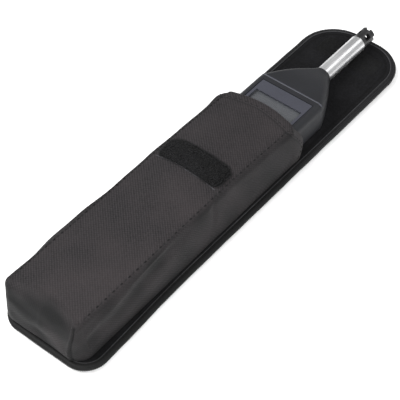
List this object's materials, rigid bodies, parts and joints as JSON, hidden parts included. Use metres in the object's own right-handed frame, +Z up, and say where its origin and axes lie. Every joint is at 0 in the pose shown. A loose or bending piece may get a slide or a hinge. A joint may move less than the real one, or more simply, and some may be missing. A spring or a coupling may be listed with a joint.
{
  "type": "probe hygrometer in belt pouch",
  "caption": "Handheld probe meter with slotted sensor cap and display, half drawn out of a padded cloth belt pouch with an open flap.",
  "frame": {"origin": "on the resting surface, under the middle of the outline of the pouch with its flap open", "axes": "+Z up, away from the surface the pouch lies on; +Y along the pouch towards the flap's end; +X to the right across the pouch, seen from above with the flap at the top"},
  "size_m": [0.062, 0.288, 0.0337],
  "materials": {
    "pouch_cloth": "woven, matt",
    "foam": "foam board",
    "lining": "brushed, fuzzy",
    "binding_tape": "ribbed tape",
    "touch_fastener": "looped pile",
    "webbing": "woven webbing",
    "case_plastic": "fine moulded texture",
    "clear_window": "clear",
    "display": "grey-green glass",
    "inner_plastic": "moulded",
    "key_rubber": "matt rubber",
    "circuit_board": "solder mask",
    "electronic_parts": "moulded",
    "screw_steel": "plated",
    "battery_can": "printed sleeve",
    "probe_metal": "satin turned",
    "probe_plastic": "moulded",
    "lead_insulation": "insulation"
  },
  "bodies": {
    "pouch": {"back_panel_cloth": "pouch_cloth", "back_panel_stiffener": "foam", "back_panel_lining": "lining", "back_panel_binding": "binding_tape", "gusset_left": "pouch_cloth", "gusset_right": "pouch_cloth", "pocket_end": "pouch_cloth", "pocket_front": "pouch_cloth", "mouth_binding": "binding_tape", "loop_patch": "touch_fastener", "belt_loop": "webbing"},
    "flap": {"flap_cloth": "pouch_cloth", "flap_stiffener": "foam", "flap_lining": "lining", "flap_binding": "binding_tape", "hook_strip": "touch_fastener"},
    "meter": {"front_housing": "case_plastic", "rear_housing": "case_plastic", "battery_cover": "case_plastic", "battery_cover_screw": "screw_steel", "case_screws": "screw_steel", "display_bezel": "case_plastic", "display_window": "clear_window", "display_glass": "display", "display_holder": "inner_plastic", "key_mat": "key_rubber", "circuit_board": "circuit_board", "microcontroller": "inner_plastic", "buzzer": "inner_plastic", "board_parts": "electronic_parts", "board_screws": "screw_steel", "battery_cells": "battery_can", "battery_contacts": "screw_steel", "probe_tube": "probe_metal", "retaining_ring": "screw_steel", "sensor_sleeve": "probe_plastic", "sensor_board": "circuit_board", "humidity_sensor": "electronic_parts", "temperature_bead": "electronic_parts", "sensor_leads": "lead_insulation"},
    "sensor_guard": {"sensor_guard": "probe_plastic"},
    "key_hold": {"key_hold": "key_rubber"},
    "key_units": {"key_units": "key_rubber"},
    "key_max_min": {"key_max_min": "key_rubber"},
    "key_power": {"key_power": "key_rubber"}
  },
  "joints": [
    {"name": "meter_slide", "type": "slide", "parent": "pouch", "child": "meter", "axis": [0, 1, 0], "range_m": [-0.103, 0.075]},
    {"name": "flap_fold", "type": "hinge", "parent": "pouch", "child": "flap", "pos_m": [0, 0.0378, 0.0016], "axis": [1, 0, 0], "range_deg": [-150, 0]},
    {"name": "guard_turn", "type": "hinge", "parent": "meter", "child": "sensor_guard", "pos_m": [0.001, 0.135, 0.0113], "axis": [0, 1, 0], "range_deg": [0, 45]},
    {"name": "key_hold_press", "type": "slide", "parent": "meter", "child": "key_hold", "axis": [0, 0, -1], "range_m": [0, 0.0008], "stiffness_N_per_m": 500},
    {"name": "key_units_press", "type": "slide", "parent": "meter", "child": "key_units", "axis": [0, 0, -1], "range_m": [0, 0.0008], "stiffness_N_per_m": 500},
    {"name": "key_max_min_press", "type": "slide", "parent": "meter", "child": "key_max_min", "axis": [0, 0, -1], "range_m": [0, 0.0008], "stiffness_N_per_m": 500},
    {"name": "key_power_press", "type": "slide", "parent": "meter", "child": "key_power", "axis": [0, 0, -1], "range_m": [0, 0.0008], "stiffness_N_per_m": 500}
  ]
}
